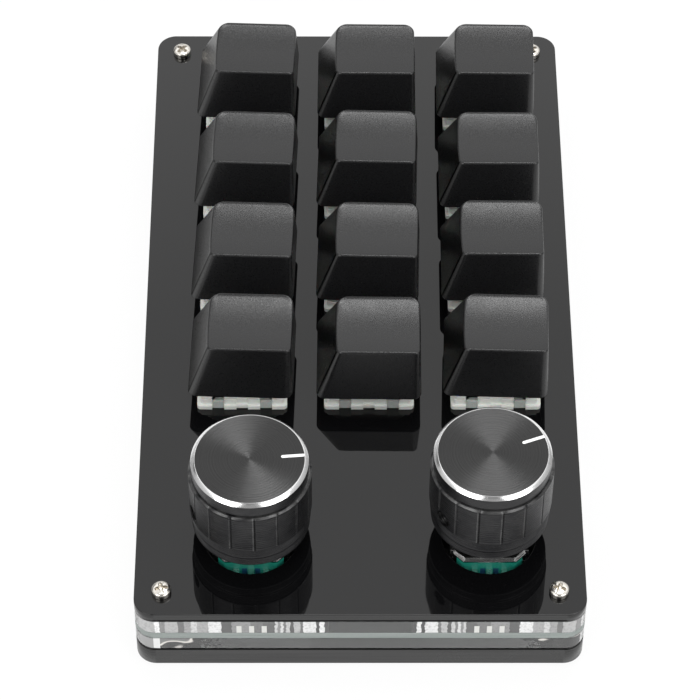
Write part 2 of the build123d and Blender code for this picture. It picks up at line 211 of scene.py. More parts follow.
# The rim's inner edge, point by point: outwards from its radius, and down from the knob's top
rim_edge = ((0.08, 0.03), (0.0, 0.0), (-0.05, 0.02), (-0.1, 0.3))
knob_height = 16.3
foot_break = 0.15
foot_step = 0.06
skirt_break = 0.08
grip_break = 0.12
recess_break = 0.2
plain_band = 0.2
rings_start = 0.3
disc_sink = 0.06
disc_gap = 0.06
disc_hub = 0.05
groove_half_width = 0.15
groove_depth = 0.16
groove_runout = 0.6
groove_clearance = 1.15
ring_pitch = 0.5
ring_depth = 0.06
skirt_ring_depth = 0.13
disc_ring_pitch = 0.5
disc_ring_depth = 0.01
knob_recess_radius = 4.8
knob_recess_depth = 3.4
knob_bore_radius = 3.05
knob_bore_depth = 13.8
knob_flat = -1.55
pointer_start = 5.2
pointer_half_width = 0.29
pointer_thickness = 0.12
pointer_proud = 0.03
pointer_break = 0.02
pointer_drawn = (0.99, 0.9)
knob_turns = {"left": 5.0, "right": 21.0}
groove_turns = {"left": 5.0, "right": 9.0}
set_screw_turn = 16.0
set_screw_height = 6.2
set_screw_radius = 1.5
hole_start = knob_recess_radius * 1.5
hole_tube_start = knob_recess_radius * 1.45
hole_wall = 0.1
hole_sink = 0.1
# Painted highlights on the knob: a line beside each groove and one along the grip's top edge
groove_highlight_distance = groove_half_width * 1.9
groove_highlight_half_width = 0.1
lip_highlight_reach = 0.02

# Encoders' fronts: the painted shade of the wells beside the middle pin, and the lid's metal folded
# round the resin
well_distance = 1.1
well_half_width = 0.45
well_depth = 1.3
front_skin = 0.2
fold_distance = 5.5
fold_height = 0.35

# Case screws
screw_head_radius = 1.65
screw_head_height = 1.35
screw_head_side = 0.75
screw_head_break = 0.1
screw_head_foot = 0.12
screw_head_flatness = 0.6
screw_head_centre = 0.02
screw_turns = (12.0, 50.0, 74.0, 31.0)
cross_half_length = 1.1
cross_half_width = 0.26
cross_edge = 0.12
cross_taper = 0.45
cross_depth = 0.9
thread_radius = 1.0
thread_depth = 0.16
thread_pitch = 0.4
shank_bottom = 2.0
shank_overlap = 0.05

# Sheets of the case. A strip of the painted refraction and reflection on the clear front is the
# distance from the knobs' middle where it starts, and its shade
acrylic_ior = 1.49
air_gap = 0.03
seam_gap = 0.28
strip_reach = 40.0
strip_wander = 0.7
strip_strength = 0.85
strips = (
    (0.0, 112), (7.0, 84), (7.6, 245), (8.4, 80), (9.0, 236), (11.2, 120), (11.7, 190),
    (12.8, 92), (13.4, 205), (14.0, 130), (14.4, 225), (14.9, 150), (15.4, 210), (15.8, 106),
    (17.8, 124), (20.0, 152), (22.4, 150), (23.0, 96), (24.8, 240), (26.9, 176), (28.9, 215),
    (29.8, 168), (31.0, 118), (32.0, 188), (34.2, 140), (35.1, 250), (35.8, 190))
pin_distance = 19.8
pin_pitch = 2.1
pin_half_width = 0.42
pin_height = 1.95
strips_start = strips[1][0]
corner_start = 27.0
corner_wander = 14.0
post_start = 35.2
post_end = 36.3
# Half height of the painted shade band at each black sheet's seam
painted_seam_shade_height = 0.5
foot_radius = 4.0
rubber_break = 0.1
# A foot's lower edge, point by point: in from its radius, and up from the floor
rubber_round = ((0.3, 0.0), (0.08, 0.08), (0.0, 0.35))

# Widths of the broken edges of nodes that show as they are
crease_angle = 35.0
weld_reach = 0.002
board_bevel = 0.05
node_bevels = {
    "top_plate": 0.12, "bottom_plate": 0.12, "case_nuts": 0.12, "usb_receptacle": 0.06,
    "encoder_bases": 0.15, "encoder_cans": 0.08, "encoder_terminals": 0.06,
    **{f"key_stem_{key}": 0.08 for key in key_names}}


# Meshes: a shape is its points, its quads and its triangles

def ring_stack(rings, ends="capped"):
    """Quads between each ring of points and the next.

    Rings run counter-clockwise seen from above and the stack climbs the outside, so the faces
    point outwards. The ends are capped by fans to their middles, or the last ring joins the first.
    """
    rings = np.asarray(rings, float)
    count, around = rings.shape[:2]
    here = np.arange(around)
    following = np.roll(here, -1)
    start = np.arange(count - 1)[:, None] * around
    quads = np.stack([start + here, start + following, start + around + following,
                      start + around + here], axis=-1).reshape(-1, 4)
    points = rings.reshape(-1, 3)
    last = (count - 1) * around
    if ends == "joined":
        seam = np.stack([last + here, last + following, following, here], axis=-1)
        return points, np.vstack([quads, seam]), np.empty((0, 3), int)
    middles = rings[[0, -1]].mean(axis=1)
    bottom = np.full(around, len(points))
    triangles = np.vstack([np.stack([following, here, bottom], axis=-1),
                           np.stack([last + here, last + following, bottom + 1], axis=-1)])
    return np.vstack([points, middles]), quads, triangles


def directions(angle):
    """The steps in X and Y of a unit length at each angle in radians."""
    return np.stack([np.cos(angle), np.sin(angle)], axis=-1)


def full_circle(count):
    """Even angles once round."""
    return np.linspace(0, 2 * np.pi, count, endpoint=False)


def placed(shape, x=0.0, y=0.0, z=0.0, turn=0.0):
    """The shape turned by an angle in degrees about its own Z axis, then moved."""
    points, quads, triangles = shape
    cosine, sine = directions(np.radians(turn))
    rotation = np.array([[cosine, sine, 0], [-sine, cosine, 0], [0, 0, 1]])
    return points @ rotation + (x, y, z), quads, triangles


def stretched(shape, low, high, drop, lift):
    """The shape with its level low moved down, its level high moved up, and all else between."""
    points, quads, triangles = shape
    share = (points[:, 2] - low) / (high - low)
    rise = share * lift - (1 - share) * drop
    return points + np.outer(rise, (0, 0, 1)), quads, triangles


def together(shapes):
    """Several shapes as one."""
    starts = np.cumsum([0] + [len(shape[0]) for shape in shapes])
    points = np.vstack([shape[0] for shape in shapes])
    quads = np.vstack([shape[1] + start for shape, start in zip(shapes, starts)])
    triangles = np.vstack([shape[2] + start for shape, start in zip(shapes, starts)])
    return points, quads, triangles


def rings_from(outlines, heights):
    """Rings of points from flat outlines and a height for each, or for each point of each."""
    outlines = np.asarray(outlines, float)
    heights = np.asarray(heights, float)
    if heights.ndim == 1:
        heights = np.repeat(heights[:, None], outlines.shape[1], axis=1)
    return np.concatenate([outlines, heights[..., None]], axis=-1)


def revolved(profile, around, ends="capped"):
    """A profile of (radius, height) pairs carried round the Z axis."""
    profile = np.asarray(profile, float)
    unit = directions(full_circle(around))
    return ring_stack(rings_from(profile[:, 0, None, None] * unit, profile[:, 1]), ends)


corner_signs = np.array([(1, 1), (-1, 1), (-1, -1), (1, -1)])


def rounded_template(corner_steps, side_shares):
    """Points round a rounded rectangle, one row for each.

    A row holds the share of the corner centres' half spacing in X and Y, then the direction of
    the corner radius. The four corners are quarter circles, and the sides between them are
    divided at the given shares of their length.
    """
    rows = []
    shares = np.asarray(side_shares, float)[:, None]
    for corner in range(4):
        angle = np.linspace(0, np.pi / 2, corner_steps + 1) + corner * np.pi / 2
        direction = directions(angle)
        sign = corner_signs[corner]
        rows.append(np.hstack([np.tile(sign, (len(angle), 1)), direction]))
        side = sign * (1 - shares) + corner_signs[(corner + 1) % 4] * shares
        rows.append(np.hstack([side, np.tile(direction[-1], (len(side), 1))]))
    return np.vstack(rows)


def rounded_outline(template, half_x, half_y, radius, shift=0.0):
    """The template's outline at a size: corner centres inset by the radius, plus the radius."""
    x = shift + template[:, 0] * (half_x - radius) + template[:, 2] * radius
    y = template[:, 1] * (half_y - radius) + template[:, 3] * radius
    return np.stack([x, y], axis=-1)


def add_object(name, data):
    """A new object of the scene, at the origin."""
    made = bpy.data.objects.new(name, data)
    bpy.context.scene.collection.objects.link(made)
    return made


def make_piece(name, shape, finish, body, stands_for=(), crease=crease_angle):
    """A mesh object in metres, smooth but for edges sharper than the crease, on its body."""
    points, quads, triangles = shape
    mesh = bpy.data.meshes.new(name)
    mesh.vertices.add(len(points))
    mesh.vertices.foreach_set("co", (points * mm).astype(np.float32).ravel())
    corners = np.concatenate([quads.ravel(), triangles.ravel()])
    sizes = np.repeat([4, 3], [len(quads), len(triangles)])
    mesh.loops.add(len(corners))
    mesh.loops.foreach_set("vertex_index", corners.astype(np.int32))
    mesh.polygons.add(len(sizes))
    mesh.polygons.foreach_set("loop_start", (np.cumsum(sizes) - sizes).astype(np.int32))
    mesh.update(calc_edges=True)
    mesh.validate()
    mesh.shade_smooth()
    mesh.set_sharp_from_angle(angle=np.radians(crease))
    return dressed(add_object(name, mesh), finish, body, stands_for)


def dressed(piece, finish, body, stands_for=()):
    """Gives a piece its finish and its body, and hides the nodes that it stands for."""
    piece.data.materials.clear()
    piece.data.materials.append(finish)
    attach(piece, body)
    if stands_for:
        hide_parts(*stands_for)
    return piece


# Finishes: shader maths as Python expressions

def math_method(operation, swapped=False):
    """A method that adds one Math node, for a value and what stands beside its operator."""
    def add_node(value, other=0.0):
        first, second = (other, value) if swapped else (value, other)
        return value.finish.node("ShaderNodeMath", {0: first, 1: second}, operation=operation)

    return add_node


class Value:
    """A number that varies over a surface. Python's operators on it add Math nodes."""

    def __init__(self, finish, socket):
        self.finish = finish
        self.socket = socket

    __add__ = __radd__ = math_method("ADD")
    __sub__ = math_method("SUBTRACT")
    __rsub__ = math_method("SUBTRACT", swapped=True)
    __mul__ = __rmul__ = math_method("MULTIPLY")
    __truediv__ = math_method("DIVIDE")
    __gt__ = math_method("GREATER_THAN")
    __lt__ = math_method("LESS_THAN")
    __abs__ = math_method("ABSOLUTE")
    sine = math_method("SINE")
    root = math_method("SQRT")
    larger = math_method("MAXIMUM")


class Finish:
    """A node tree under construction: of a material, or of the world."""

    def __init__(self, owner):
        self.owner = owner
        owner.use_nodes = True
        self.tree = owner.node_tree
        self.tree.nodes.clear()

    def node(self, kind, inputs=None, output=0, stops=None, **settings):
        """Any node, from its type, its settings and the values or links of its sockets."""
        made = self.tree.nodes.new(kind)
        for setting, value in settings.items():
            setattr(made, setting, value)
        if stops:
            made.color_ramp.interpolation = "CONSTANT"
            elements = made.color_ramp.elements
            while len(elements) < len(stops):
                elements.new(1.0)
            for element, (position, colour) in zip(elements, stops):
                element.position = position
                element.color = (*colour, 1.0)
        for key, value in (inputs or {}).items():
            socket = made.inputs[key]
            if isinstance(value, Value):
                self.tree.links.new(value.socket, socket)
            elif isinstance(value, tuple) and len(socket.default_value) == 4:
                socket.default_value = (*value, 1.0)
            else:
                socket.default_value = value
        return Value(self, made.outputs[output]) if made.outputs else made

    def place(self, scale=(1.0, 1.0, 1.0)):
        """The point on the piece in millimetres, stretched by a scale along each axis."""
        point = self.node("ShaderNodeTexCoord", output="Object")
        factor = tuple(size / mm for size in scale)
        return self.node("ShaderNodeMapping", {"Vector": point, "Scale": factor})

    def axes(self, vector):
        """The X, Y and Z of a vector."""
        parts = self.node("ShaderNodeSeparateXYZ", {0: vector}).socket.node.outputs
        return [Value(self, part) for part in parts]

    def facing(self):
        """The X, Y and Z of the surface's own direction on the piece."""
        return self.axes(self.node("ShaderNodeTexCoord", output="Normal"))

    def noise(self, scale, detail=2.0, roughness=0.5, stretch=(1.0, 1.0, 1.0)):
        """Noise from 0 to 1 with about this many grains in a millimetre."""
        return self.node("ShaderNodeTexNoise", {
            "Vector": self.place(stretch), "Scale": scale, "Detail": detail,
            "Roughness": roughness})

    def span(self, value, low, high, start=0.0, end=1.0):
        """The value's range from low to high, smoothly carried to start and end."""
        return self.node("ShaderNodeMapRange", {
            "Value": value, "From Min": low, "From Max": high, "To Min": start, "To Max": end},
            interpolation_type="SMOOTHSTEP")

    def varied(self, noise, low, high):
        """The middle range of a noise, carried to values from low to high."""
        return self.span(noise, 0.3, 0.7, low, high)

    def sides(self):
        """1 on the upright faces of a piece and 0 on its level ones."""
        return 1 - self.span(abs(self.facing()[2]), 0.3, 0.7)

    def mix(self, share, first, second):
        """A colour between two, by a share from 0 to 1."""
        return self.node("ShaderNodeMix", {0: share, 6: first, 7: second}, output=2,
                         data_type="RGBA")

    def bump(self, height, distance, strength=1.0):
        """A bump of a height from 0 to 1 that stands for this distance in millimetres."""
        return self.node("ShaderNodeBump", {
            "Height": height, "Distance": distance * mm, "Strength": strength})

    def principled(self, **sockets):
        """A Principled shader, with sockets named as in the node."""
        names = {key.replace("_", " ").title().replace("Ior", "IOR"): value
                 for key, value in sockets.items()}
        return self.node("ShaderNodeBsdfPrincipled", names)

    def output(self, shader):
        """The finished material, with the shader on its surface."""
        self.node("ShaderNodeOutputMaterial", {"Surface": shader})
        return self.owner

    def surface(self, **sockets):
        """The finished material of one Principled shader."""
        return self.output(self.principled(**sockets))


def new_finish(name):
    """The blank tree of a new material."""
    return Finish(bpy.data.materials.new(name))


def turned_axes(x, y, turn):
    """How far a point lies along a direction, given in degrees, and to its left."""
    cosine, sine = directions(np.radians(turn)).tolist()
    return x * cosine + y * sine, y * cosine - x * sine


def shade(red, green=None, blue=None):
    """A colour as it shows on a screen, from 0 to 255, as the linear light that makes it."""
    screen = np.array([red, red if green is None else green, red if blue is None else blue]) / 255
    linear = np.where(screen <= 0.04045, screen / 12.92, ((screen + 0.055) / 1.055) ** 2.4)
    return tuple(float(part) for part in linear)


def gloss_sheet(name, tone, edge_tone, edge_rough, line_pitch, painted_seam_shade_low, painted_seam_shade_high):
    """Polished black sheet whose sides keep the fine lines of the laser.

    Between two levels its side carries painted shade for the shadowed seam against the next sheet:
    black metal there, which reflects nothing.
    """
    finish = new_finish(name)
    z = finish.axes(finish.place())[2]
    # Painted shade: a black band at the seam, with no reflection, stands for the shadowed gap
    seam = (z > painted_seam_shade_low) * (z < painted_seam_shade_high)
    side = finish.sides()
    smear = finish.noise(0.05, 3.0)
    lines = finish.noise(1.0, 2.0, stretch=(0.03, 0.03, 1 / line_pitch))
    waves = finish.noise(1.0, 2.0, stretch=(2.2, 2.2, 0.12))
    cut = finish.mix(finish.span(lines, 0.35, 0.65), shade(edge_tone - 8), shade(edge_tone + 8))
    cut = finish.mix(seam, cut, shade(1))
    return finish.surface(base_color=finish.mix(side, tone, cut), metallic=seam * side,
                          roughness=finish.varied(smear, 0.015, 0.045) + side * edge_rough,
                          normal=finish.bump(side * (lines + waves) * 0.5, 0.03, 0.6),
                          ior=acrylic_ior)


def painted_strips_behind(finish, away, level, wobble):
    """Painted refraction on the upper clear sheet: strips, in front of which stand painted pins."""
    bent = away + (wobble - 0.5) * strip_wander
    strip = finish.node("ShaderNodeValToRGB", {0: bent / strip_reach},
                        stops=[(place / strip_reach, shade(tone)) for place, tone in strips])
    grain = finish.noise(2.2, 2.0, 0.6)
    strip = finish.mix(finish.span(grain, 0.42, 0.75, 0.0, 0.35), strip, shade(90))
    near_pin = abs(away - pin_distance)
    pins = (near_pin < pin_half_width).larger(abs(near_pin - pin_pitch) < pin_half_width)
    return finish.mix(pins * (level < board_top + pin_height), strip, shade(222, 222, 218))


def painted_swirl_behind(finish, away):
    """Painted refraction and reflection in the lower sheet's corners: a bright bent line between
    greys, and a painted screw.
    """
    swirl = finish.noise(0.2, 0.6, 0.5, stretch=(0.8, 0.8, 1.9))
    greys = finish.mix(finish.span(swirl, 0.46, 0.54), shade(66), shade(128))
    line = finish.span(abs(swirl - 0.5), 0.008, 0.035, 1.0, 0.0)
    swirled = finish.mix(line, greys, shade(226, 222, 216))
    screw = finish.mix(away > post_start, swirled, shade(238))
    return finish.mix(away > post_end, screw, shade(162))


def clear_sheet(name):
    """Clear acrylic, whose front carries a painted pattern of refraction and reflection: the pieces
    behind it and their reflections.

    Noise bends the pattern as the waves of the cut side do. Above the board it leaves out the
    middle, and below the board it keeps to the corners.
    """
    finish = new_finish(name)
    x, _, z = finish.axes(finish.place())
    away = abs(x - knobs_middle)
    waves = finish.noise(1.0, 2.0, stretch=(1.4, 1.4, 0.1))
    wobble = finish.noise(0.7, 2.0, 0.6, stretch=(1.0, 1.0, 1.6))
    upper = z > board_top
    # Painted refraction and reflection: the pieces behind the front, drawn as a pattern
    seen = finish.mix(upper, painted_swirl_behind(finish, away), painted_strips_behind(finish, away, z, wobble))
    behind = finish.principled(base_color=seen, roughness=0.12, ior=acrylic_ior)
    clear = finish.principled(base_color=(0.965, 0.98, 0.975), roughness=0.01,
                              normal=finish.bump(finish.sides() * waves, 0.012, 0.5),
                              ior=acrylic_ior, transmission_weight=0.93)
    front = finish.span(finish.facing()[1], -0.75, -0.35, 1.0, 0.0)
    corner_edge = (wobble - 0.5) * corner_wander + corner_start
    cover = front * (upper * (away > strips_start)).larger(away > corner_edge)
    return finish.output(finish.node("ShaderNodeMixShader", {
        0: cover * strip_strength, 1: clear, 2: behind}))


def laminate(name):
    """Circuit board: a dark lacquer on both faces, and pale glass-fibre layers on the edge."""
    finish = new_finish(name)
    side = finish.sides()
    layers = finish.noise(1.0, 3.0, stretch=(0.08, 0.08, 6.0))
    speckle = finish.noise(3.0, 2.0)
    edge = finish.mix(layers * 0.7 + speckle * 0.3, shade(108, 118, 115), shade(162, 168, 165))
    lacquer = finish.mix(speckle, shade(12, 16, 15), shade(20, 25, 23))
    return finish.surface(base_color=finish.mix(side, lacquer, edge),
                          roughness=side * 0.3 + 0.28,
                          normal=finish.bump(side * layers + speckle * 0.2, 0.02, 0.5))


def cap_plastic(name):
    """Black moulded plastic with the fine spark-eroded grain of keycaps.

    Its upright corners carry a painted highlight, weaker on the right, and the front left one has a
    line of painted shade on its left. How far a face looks aside rather than ahead, from 1 to -1,
    says where on a corner it is. The left walls carry a little painted shade.
    """
    finish = new_finish(name)
    grain = finish.noise(5.0, 3.0, 0.6)
    cloud = finish.noise(0.25, 2.0)
    x, y, up = finish.facing()
    wear_and_sheen = finish.span(up, 0.85, 1.0) * finish.span(cloud, 0.35, 0.75)
    aside = (x * x - y * y) / (x * x + y * y).larger(0.01)
    upright = finish.span(up, 0.55, 0.7, 1.0, 0.0)
    # Painted highlight: the upright corners lighter, weaker on the right
    painted_corner_highlight = finish.span(abs(aside + 0.05), 0.25, 0.6, 1.0, 0.0) * upright
    painted_corner_highlight = painted_corner_highlight * finish.span(x, -0.1, 0.1, 1.0, 0.45)
    # Painted shade: a dark line of black metal with no reflection, left of the front left corner
    painted_corner_shade = finish.span(abs(aside - 0.8), 0.08, 0.18, 1.0, 0.0) * upright * (x < 0) * (y < 0)
    # Painted shade: the left walls a little darker
    painted_wall_shade = finish.span(x, -0.9, -0.7, 1.0, 0.0)
    tone = finish.mix(grain, shade(15, 15, 16), shade(23, 23, 24))
    tone = finish.mix(painted_corner_highlight, finish.mix(painted_wall_shade, tone, shade(6)), shade(48))
    tone = finish.mix(painted_corner_shade, tone, shade(2))
    return finish.surface(base_color=tone, metallic=painted_corner_shade,
                          roughness=finish.varied(grain, 0.25, 0.38) - wear_and_sheen * 0.04 + painted_corner_shade * 0.3,
                          normal=finish.bump(grain, 0.03, 0.45))


def moulded_plastic(name, tone, deep_tone, rough, subsurface=0.0):
    """Moulded plastic with a faint mottle in its colour and gloss."""
    finish = new_finish(name)
    mottle = finish.noise(2.0, 3.0)
    fine = finish.noise(12.0, 2.0)
    sockets = {"base_color": finish.mix(mottle, deep_tone, tone),
               "roughness": finish.varied(fine, rough - 0.06, rough + 0.08),
               "normal": finish.bump(fine, 0.01, 0.3)}
    if subsurface:
        sockets.update(subsurface_weight=subsurface, subsurface_scale=0.8 * mm)
    return finish.surface(**sockets)


def encoder_resin(name):
    """Green resin, with painted shade in two wells beside the middle pin of each encoder's front.

    At its sides and its top edge the lid's bright metal is folded round it.
    """
    finish = new_finish(name)
    x, y, z = finish.axes(finish.place())
    mottle = finish.noise(2.0, 3.0)
    aside = abs(abs(x - knobs_middle) - knobs_reach)
    folded = (aside > fold_distance).larger(z > encoder_high[2] - fold_height)
    # Painted shade: dark patches stand for the shade in the wells
    painted_well_shade = abs(aside - well_distance) < well_half_width
    painted_well_shade = painted_well_shade * (y < encoder_low[1] + front_skin) * (z < deck_top - well_depth)
    tone = finish.mix(mottle, shade(24, 122, 104), shade(40, 152, 132))
    resin = finish.mix(painted_well_shade, tone, shade(22, 66, 98))
    crumple = finish.noise(1.4, 2.0)
    return finish.surface(base_color=finish.mix(folded, resin, shade(165)), metallic=folded,
                          roughness=finish.span(folded, 0.0, 1.0, 0.32, 0.2),
                          normal=finish.bump(mottle * 0.3 + crumple * folded, 0.06, 0.4))


def turned_metal(name, tone, rough, tarnish=0.0):
    """Metal with fine marks of the tool across its height, and a little tarnish."""
    finish = new_finish(name)
    marks = finish.noise(1.0, 3.0, stretch=(0.5, 0.5, 9.0))
    spots = finish.noise(1.6, 4.0, 0.65)
    dull = finish.span(spots, 0.52, 0.72) * tarnish
    darker = tuple(part * 0.45 for part in tone)
    return finish.surface(base_color=finish.mix(dull, tone, darker), metallic=1.0,
                          roughness=finish.varied(marks, rough * 0.7, rough * 1.3) + dull * 0.2,
                          normal=finish.bump(marks, 0.02, 0.35))


def knob_black(name, middle, bottom, groove_turn, hole_turn):
    """Black anodised aluminium, with painted highlights of grey along the grip's top edge and
    beside each groove.

    It is cut away in a circle over the set screw's hole.
    """
    finish = new_finish(name)
    x, y, z = finish.axes(finish.place())
    height = z - bottom
    angle = finish.node("ShaderNodeMath", {0: y - middle[1], 1: x - middle[0]},
                        operation="ARCTAN2")
    panel = finish.node("ShaderNodeMath", {0: (angle - np.radians(groove_turn)) / panel_step},
                        operation="FRACT")
    before_groove = (1 - panel) * (panel_step * grip_radius)
    marks = finish.noise(1.0, 3.0, stretch=(0.6, 0.6, 12.0))
    cloud = finish.noise(0.5, 3.0)
    wear_and_sheen = finish.span(cloud, 0.3, 0.6)
    out, aside = turned_axes(x - middle[0], y - middle[1], hole_turn)
    rise = height - set_screw_height
    hole = (aside * aside + rise * rise < set_screw_radius ** 2) * (out > hole_start)
    # Painted highlights: a grey line along the grip's top edge and beside each groove, in patches
    lip = (height > grip_top - grip_chamfer) * (height < grip_top + lip_highlight_reach)
    beside = abs(before_groove - groove_highlight_distance) < groove_highlight_half_width
    beside = beside * (height > knob_skirt_height) * (height < grip_top)
    tone = finish.mix(wear_and_sheen, shade(34, 34, 36), shade(44, 44, 45))
    tone = finish.mix(beside * (0.3 + wear_and_sheen * 0.7), tone, shade(84))
    tone = finish.mix(lip * wear_and_sheen, tone, shade(84))
    return finish.surface(base_color=tone, metallic=0.55, alpha=1 - hole,
                          roughness=finish.varied(marks, 0.24, 0.38),
                          normal=finish.bump(marks, 0.02, 0.4))


def spun_disc(name, centre):
    """Dark anodised metal turned in fine circles round the knob's own axis."""
    finish = new_finish(name)
    x, y, _ = finish.axes(finish.place())
    across, along = x - centre[0], y - centre[1]
    radius = (across * across + along * along).root()
    rings = finish.node("ShaderNodeTexNoise", {"W": radius, "Scale": 9.0, "Detail": 3.0},
                        noise_dimensions="1D")
    coarse = (radius * (2 * np.pi / disc_ring_pitch)).sine() * 0.5 + 0.5
    return finish.surface(base_color=finish.mix(rings, shade(53), shade(72)), metallic=1.0,
                          roughness=finish.varied(rings, 0.27, 0.34), anisotropic=0.95,
                          anisotropic_rotation=0.25,
                          normal=finish.bump(rings * 0.4 + coarse * 0.6, 0.02, 0.35))


def rubber(name):
    """Soft black rubber with a moulded grain."""
    finish = new_finish(name)
    grain = finish.noise(4.0, 3.0, 0.6)
    return finish.surface(base_color=finish.mix(grain, shade(18), shade(30)),
                          roughness=finish.varied(grain, 0.65, 0.85),
                          normal=finish.bump(grain, 0.03, 0.5))


def white_paint(name):
    """White paint laid in a cut line, a little uneven in colour and gloss."""
    finish = new_finish(name)
    grain = finish.noise(6.0, 3.0)
    return finish.surface(base_color=finish.mix(grain, shade(225), shade(246)),
                          roughness=finish.varied(grain, 0.3, 0.5),
                          normal=finish.bump(grain, 0.01, 0.3))


# The function that makes each finish, and its settings
finish_table = {
    "black_acrylic": (gloss_sheet, shade(10, 10, 11), 24, 0.1, 0.5,
                      deck_bottom - painted_seam_shade_height, deck_bottom + painted_seam_shade_height),
    "black_acrylic_base": (gloss_sheet, shade(12, 12, 13), 36, 0.25, 0.3,
                           base_top - painted_seam_shade_height * 0.6, base_top + painted_seam_shade_height),
    "clear_acrylic": (clear_sheet,),
    "board_laminate": (laminate,),
    "component_black": (moulded_plastic, shade(34), shade(22), 0.5),
    "connector_shell": (turned_metal, (0.62, 0.61, 0.6), 0.26),
    "screw_nickel": (turned_metal, (0.7, 0.67, 0.62), 0.16, 0.8),
    "foot_rubber": (rubber,),
    "switch_white": (moulded_plastic, shade(238, 239, 234), shade(224, 226, 220), 0.38, 0.15),
    "switch_milky": (moulded_plastic, shade(196, 200, 196), shade(178, 182, 178), 0.32, 0.3),
    "contact_metal": (turned_metal, (0.74, 0.74, 0.72), 0.25),
    "encoder_green": (encoder_resin,),
    "encoder_steel": (turned_metal, (0.66, 0.66, 0.65), 0.22),
    "cap_plastic": (cap_plastic,),
    "stem_plastic": (moulded_plastic, shade(40, 96, 160), shade(30, 80, 140), 0.35),
    "spring_steel": (turned_metal, (0.7, 0.7, 0.7), 0.2),
    "rotor_plastic": (moulded_plastic, shade(60), shade(44), 0.45),
    "shaft_metal": (turned_metal, (0.7, 0.69, 0.67), 0.24),
    "knob_aluminium": (turned_metal, shade(40), 0.3),
    "set_screw_steel": (turned_metal, (0.3, 0.29, 0.28), 0.3),
    "bright_rim": (turned_metal, (0.9, 0.9, 0.9), 0.14, 0.3),
    "pointer_paint": (white_paint,),
}
finishes = {name: make(name, *settings) for name, (make, *settings) in finish_table.items()}
for row in frame["record"]["subparts"]:
    mesh = nodes[row["node"]].data
    mesh.materials.clear()
    mesh.materials.append(finishes[row["material_slot"]])


def slot_piece(name, shape, slot, body, *stands_for, crease=crease_angle):
    """A new piece with the finish of the record's slot that it takes."""
    return make_piece(name, shape, finishes[slot], body, stands_for, crease)


# Case

def weld(piece):
    """Joins a node's loose triangles along their shared edges."""
    joined = piece.modifiers.new("weld", "WELD")
    joined.merge_threshold = weld_reach * mm


def soften(node, width, segments=2):
    """Rounds a node's sharp edges by a small width, so that they catch the light."""
    piece = nodes[node]
    weld(piece)
    bevel = piece.modifiers.new("edges", "BEVEL")
    bevel.width = width * mm
    bevel.segments = segments
    bevel.limit_method = "ANGLE"
    bevel.angle_limit = np.radians(crease_angle)
    bevel.harden_normals = True


def corner_places(node, inset):
    """The middles of four round pieces, from the box of their node and their radius."""
    low, high = node_box(node)
    return [(x, y) for x in (low[0] + inset, high[0] - inset)
            for y in (low[1] + inset, high[1] - inset)]


def clear_frame(node, gap_below, gap_above):
    """The clear sheet as cut, a little thinner than its place, so that air lies on each side
    and turns back the light inside it. The wider gap is the dark seam against a black sheet."""
    mesh = nodes[node].data.copy()
    mesh.name = node + "_sheet"
    points = np.empty(len(mesh.vertices) * 3, np.float32)
    mesh.vertices.foreach_get("co", points)
    points = points.reshape(-1, 3)
    low, high = points[:, 2].min(), points[:, 2].max()
    keep = 1 - (gap_below + gap_above) * mm / (high - low)
    points[:, 2] = low + gap_below * mm + (points[:, 2] - low) * keep
    mesh.vertices.foreach_set("co", points.ravel())
    sheet = add_object(mesh.name, mesh)
    weld(sheet)
    dressed(sheet, finishes["clear_acrylic"], "root", (node,))


def case_screw():
    """Pan head with a cross recess, over a shank whose radius follows its thread.

    The head's height is a flat rounded off at its side, less the recess, which is deepest where
    either arm of the cross covers a point. The thread is a sine of angle and height together.
    """
    around, radial, rings_in_pitch = 96, 26, 8
    angle = full_circle(around)
    unit = directions(angle)
    radius = screw_head_radius * np.linspace(1, screw_head_centre, radial)[:, None]
    x, y = radius * unit[:, 0], radius * unit[:, 1]
    crown = np.sqrt(np.clip(1 - (radius / screw_head_radius) ** 2, 0, 1))
    crown = crown ** screw_head_flatness
    dome = screw_head_side + (screw_head_height - screw_head_side) * crown

    def arm(along, across):
        """1 inside one arm of the cross, falling to 0 over its edge and along its taper."""
        inside = np.clip((cross_half_width - np.abs(across)) / cross_edge + 0.5, 0, 1)
        return inside * np.clip((cross_half_length - np.abs(along)) / cross_taper, 0, 1)

    height = dome - cross_depth * np.maximum(arm(x, y), arm(y, x))
    top = np.stack([x, y, height], axis=-1)
    side_radius = np.array([thread_radius, screw_head_radius - screw_head_break,
                            screw_head_radius])
    side = rings_from(side_radius[:, None, None] * unit, [0.0, 0.0, screw_head_foot])
    head = ring_stack(np.vstack([side, top]))
    shank_rings = int((deck_top - shank_bottom) / thread_pitch * rings_in_pitch)
    level = np.linspace(shank_bottom - deck_top, shank_overlap, shank_rings)
    turn = angle[::4]
    wave = 0.5 + 0.5 * np.sin(turn - level[:, None] * 2 * np.pi / thread_pitch)
    reach = thread_radius - thread_depth * wave
    thread = rings_from(reach[..., None] * directions(turn), level)
    return together([head, ring_stack(thread)])


